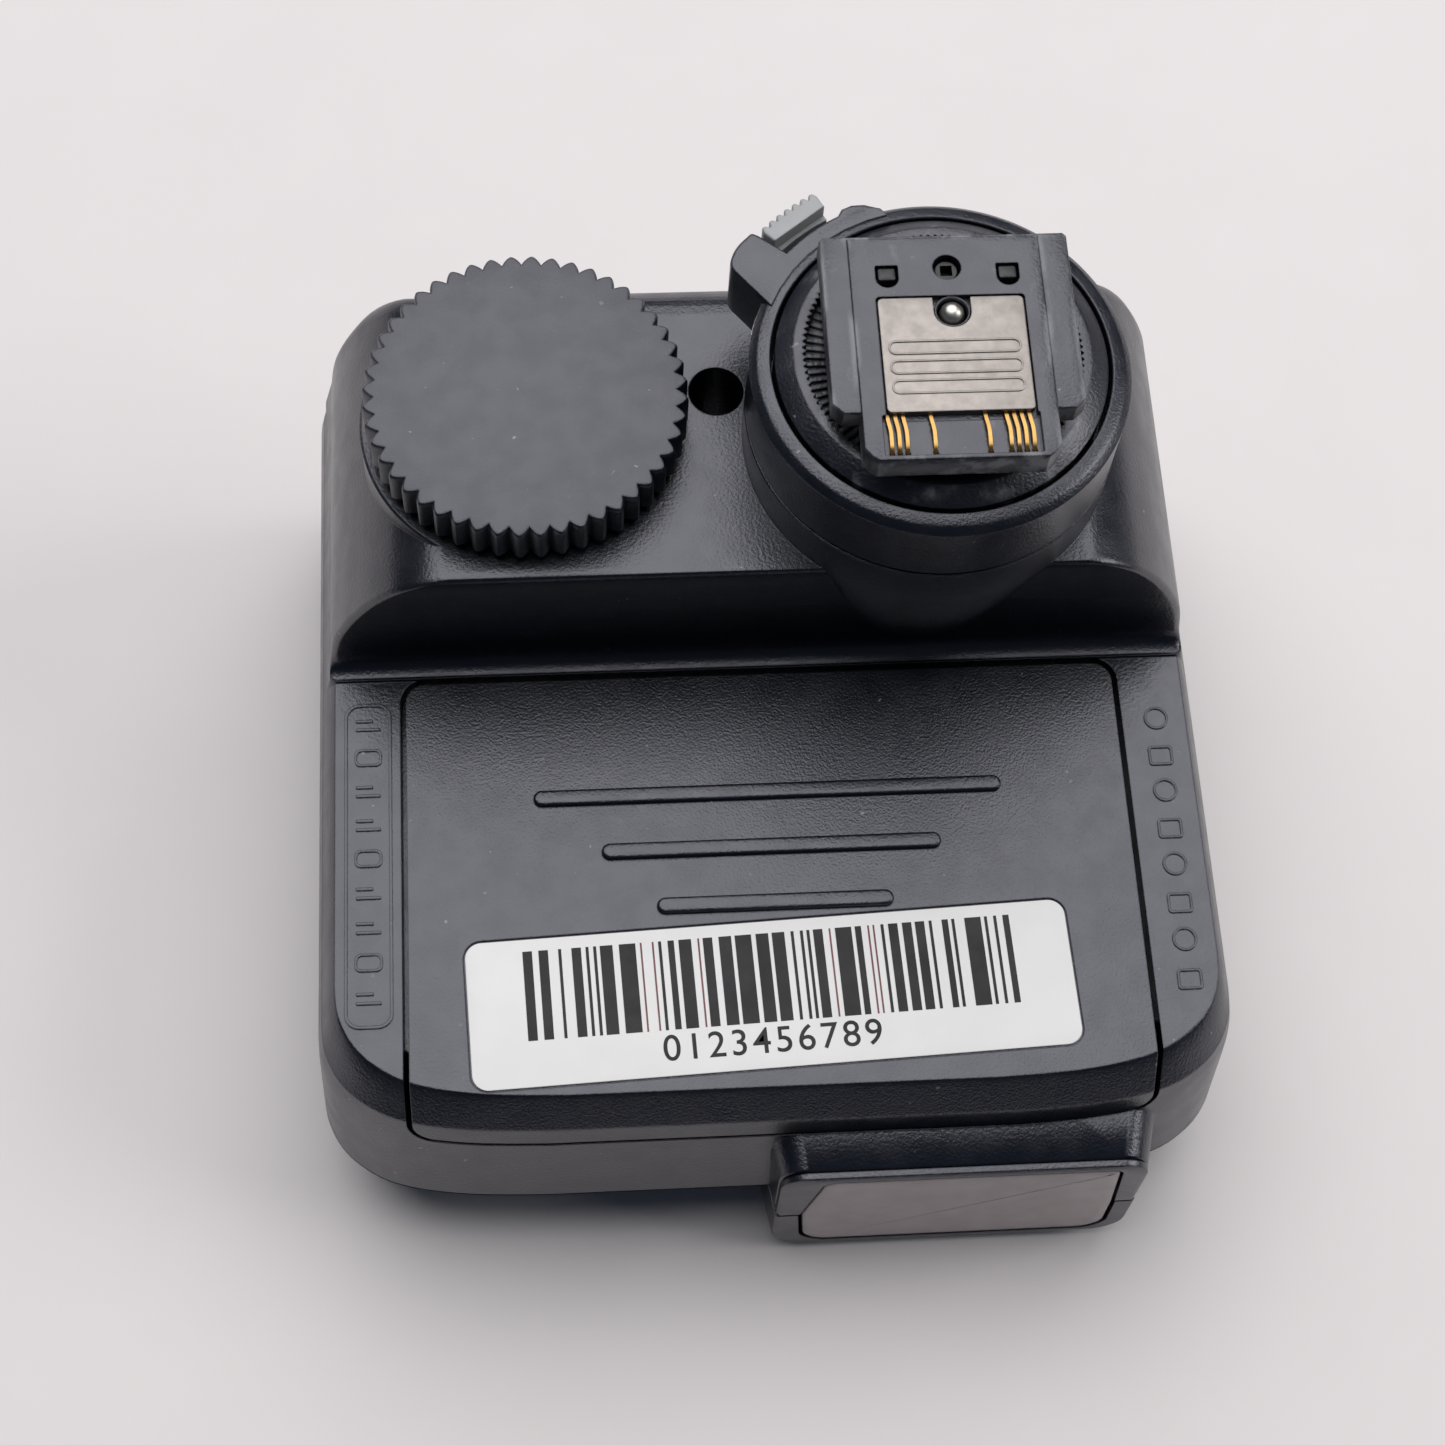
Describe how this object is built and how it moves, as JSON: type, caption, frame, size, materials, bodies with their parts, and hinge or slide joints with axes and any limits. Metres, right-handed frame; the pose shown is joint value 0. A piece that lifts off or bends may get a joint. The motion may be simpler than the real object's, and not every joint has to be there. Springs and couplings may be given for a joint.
{
  "type": "wireless flash trigger",
  "caption": "Radio flash trigger lying on its display side: locking multi-contact shoe foot, select dial, sliding battery door, assist lamp lens and push keys.",
  "frame": {"origin": "Under the middle of the body, on the surface that the display side lies on.", "axes": "+X to the right side of the body, +Y from the lamp end towards the shoe foot end, +Z out of the battery door and along the shoe foot."},
  "size_m": [0.0738, 0.0722, 0.0583],
  "materials": {
    "shell_black": "satin, fine grain",
    "dial_black": "matte",
    "door_black": "satin, fine grain",
    "foot_black": "satin, rubbed on the sliding edges",
    "plate_grey": "matte",
    "button_grey": "matte",
    "steel": "bright",
    "gold": "plated",
    "lens_smoke": "satin, smoke tint",
    "label_white": "printed film",
    "cell_jacket": "wrapped metal can",
    "board_green": "solder mask",
    "screen_glass": "clear window over a dark screen",
    "panel_grey": "matte",
    "key_rubber": "matte",
    "lamp_red": "tinted resin"
  },
  "bodies": {
    "housing": {"shoe_shell": "shell_black", "display_shell": "shell_black", "lamp_bezel": "shell_black", "cell_front": "cell_jacket", "cell_rear": "cell_jacket", "bridge_plate": "steel", "plus_plate": "steel", "minus_plate": "steel", "cell_spring_front": "steel", "cell_spring_rear": "steel", "usb_socket": "steel", "case_screw_well": "steel", "case_screw_left": "steel", "case_screw_right": "steel", "foot_screw": "steel", "lamp_lens": "lens_smoke", "lamp_led": "lamp_red", "main_board": "board_green", "radio_board": "board_green", "display_window": "screen_glass", "lcd_module": "panel_grey", "dial_encoder": "panel_grey", "foot_core": "foot_black", "foot_block": "foot_black", "sync_jack": "foot_black", "foot_plate": "plate_grey", "foot_contact_1": "gold", "foot_contact_2": "gold", "foot_contact_3": "gold", "foot_contact_4": "gold", "foot_contact_5": "gold", "foot_contact_6": "gold", "foot_contact_7": "gold", "foot_contact_8": "gold", "foot_contact_9": "gold"},
    "door": {"battery_door": "door_black", "door_label": "label_white"},
    "dial": {"dial_disc": "dial_black", "dial_shaft": "steel"},
    "ring": {"lock_ring": "shell_black"},
    "release": {"release_button": "button_grey"},
    "claws": {"claw_left": "steel", "claw_right": "steel"},
    "pin": {"centre_pin": "steel"},
    "power_knob": {"power_switch": "key_rubber"},
    "lamp_knob": {"lamp_switch": "key_rubber"},
    "set_key": {"set_button": "key_rubber"},
    "group_key_1": {"group_button_1": "key_rubber"},
    "group_key_2": {"group_button_2": "key_rubber"},
    "group_key_3": {"group_button_3": "key_rubber"},
    "group_key_4": {"group_button_4": "key_rubber"},
    "group_key_5": {"group_button_5": "key_rubber"},
    "function_key_1": {"function_button_1": "key_rubber"},
    "function_key_2": {"function_button_2": "key_rubber"},
    "function_key_3": {"function_button_3": "key_rubber"},
    "function_key_4": {"function_button_4": "key_rubber"}
  },
  "joints": [
    {"name": "door_slide", "type": "slide", "parent": "housing", "child": "door", "axis": [0, -1, 0], "range_m": [0, 0.006]},
    {"name": "dial_turn", "type": "hinge", "parent": "housing", "child": "dial", "pos_m": [-0.01839, 0.02089, 0.04171], "axis": [0, 0, 1], "continuous": true},
    {"name": "ring_turn", "type": "hinge", "parent": "housing", "child": "ring", "pos_m": [0.013, 0.0185, 0.0489], "axis": [0, 0, 1], "range_deg": [0, 55]},
    {"name": "release_press", "type": "slide", "parent": "ring", "child": "release", "axis": [0.6088, -0.7934, 0], "range_m": [0, 0.0007], "stiffness_N_per_m": 200},
    {"name": "claw_lift", "type": "slide", "parent": "housing", "child": "claws", "axis": [0, 0, 1], "range_m": [0, 0.001]},
    {"name": "pin_press", "type": "slide", "parent": "housing", "child": "pin", "axis": [0, 0, -1], "range_m": [0, 0.0003], "stiffness_N_per_m": 300},
    {"name": "power_slide", "type": "slide", "parent": "housing", "child": "power_knob", "axis": [0, 1, 0], "range_m": [0, 0.003]},
    {"name": "lamp_slide", "type": "slide", "parent": "housing", "child": "lamp_knob", "axis": [0, 1, 0], "range_m": [0, 0.003]},
    {"name": "group_press_1", "type": "slide", "parent": "housing", "child": "group_key_1", "axis": [0, 0, 1], "range_m": [0, 0.0004], "stiffness_N_per_m": 300},
    {"name": "group_press_2", "type": "slide", "parent": "housing", "child": "group_key_2", "axis": [0, 0, 1], "range_m": [0, 0.0004], "stiffness_N_per_m": 300},
    {"name": "group_press_3", "type": "slide", "parent": "housing", "child": "group_key_3", "axis": [0, 0, 1], "range_m": [0, 0.0004], "stiffness_N_per_m": 300},
    {"name": "group_press_4", "type": "slide", "parent": "housing", "child": "group_key_4", "axis": [0, 0, 1], "range_m": [0, 0.0004], "stiffness_N_per_m": 300},
    {"name": "group_press_5", "type": "slide", "parent": "housing", "child": "group_key_5", "axis": [0, 0, 1], "range_m": [0, 0.0004], "stiffness_N_per_m": 300},
    {"name": "function_press_1", "type": "slide", "parent": "housing", "child": "function_key_1", "axis": [0, 0, 1], "range_m": [0, 0.0004], "stiffness_N_per_m": 300},
    {"name": "function_press_2", "type": "slide", "parent": "housing", "child": "function_key_2", "axis": [0, 0, 1], "range_m": [0, 0.0004], "stiffness_N_per_m": 300},
    {"name": "function_press_3", "type": "slide", "parent": "housing", "child": "function_key_3", "axis": [0, 0, 1], "range_m": [0, 0.0004], "stiffness_N_per_m": 300},
    {"name": "function_press_4", "type": "slide", "parent": "housing", "child": "function_key_4", "axis": [0, 0, 1], "range_m": [0, 0.0004], "stiffness_N_per_m": 300},
    {"name": "set_press", "type": "slide", "parent": "housing", "child": "set_key", "axis": [0, 0, 1], "range_m": [0, 0.0004], "stiffness_N_per_m": 300}
  ],
  "couplings": [
    {"joint": "ring_turn", "follows": "claw_lift", "rad_per_m": 959.93}
  ]
}
